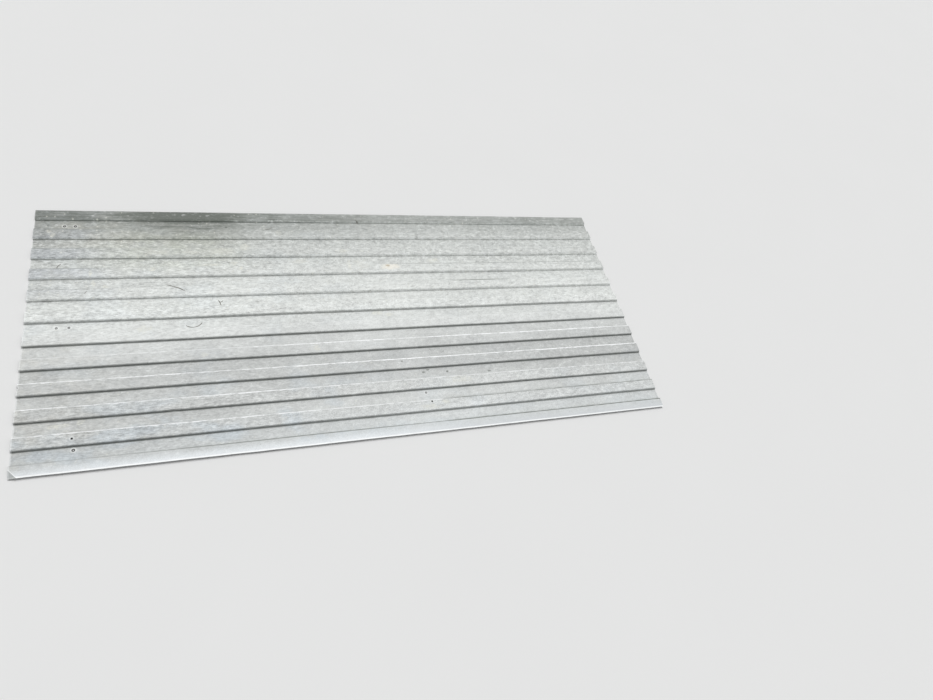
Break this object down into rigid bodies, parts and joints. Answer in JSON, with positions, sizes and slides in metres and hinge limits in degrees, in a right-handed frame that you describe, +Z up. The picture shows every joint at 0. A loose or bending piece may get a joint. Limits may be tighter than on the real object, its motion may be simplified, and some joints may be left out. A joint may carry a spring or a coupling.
{
  "type": "corrugated metal sheet",
  "caption": "Long galvanised steel sheet with shallow trapezoidal ribs, for walls, roofs and fences, weathered, with old screw holes and a bent corner.",
  "frame": {"origin": "centre of the sheet's outline, on the floor that the valleys lie on", "axes": "+X along the ribs, towards the end without holes; +Y across the ribs, towards the upper edge in the picture; +Z up, on the side of the crests"},
  "size_m": [2.5, 1.14, 0.0095],
  "materials": {
    "galvanised_steel": "weathered hot-dip zinc, dull pale grey, mottled"
  },
  "bodies": {
    "root": {"corrugated_sheet": "galvanised_steel"}
  },
  "joints": []
}
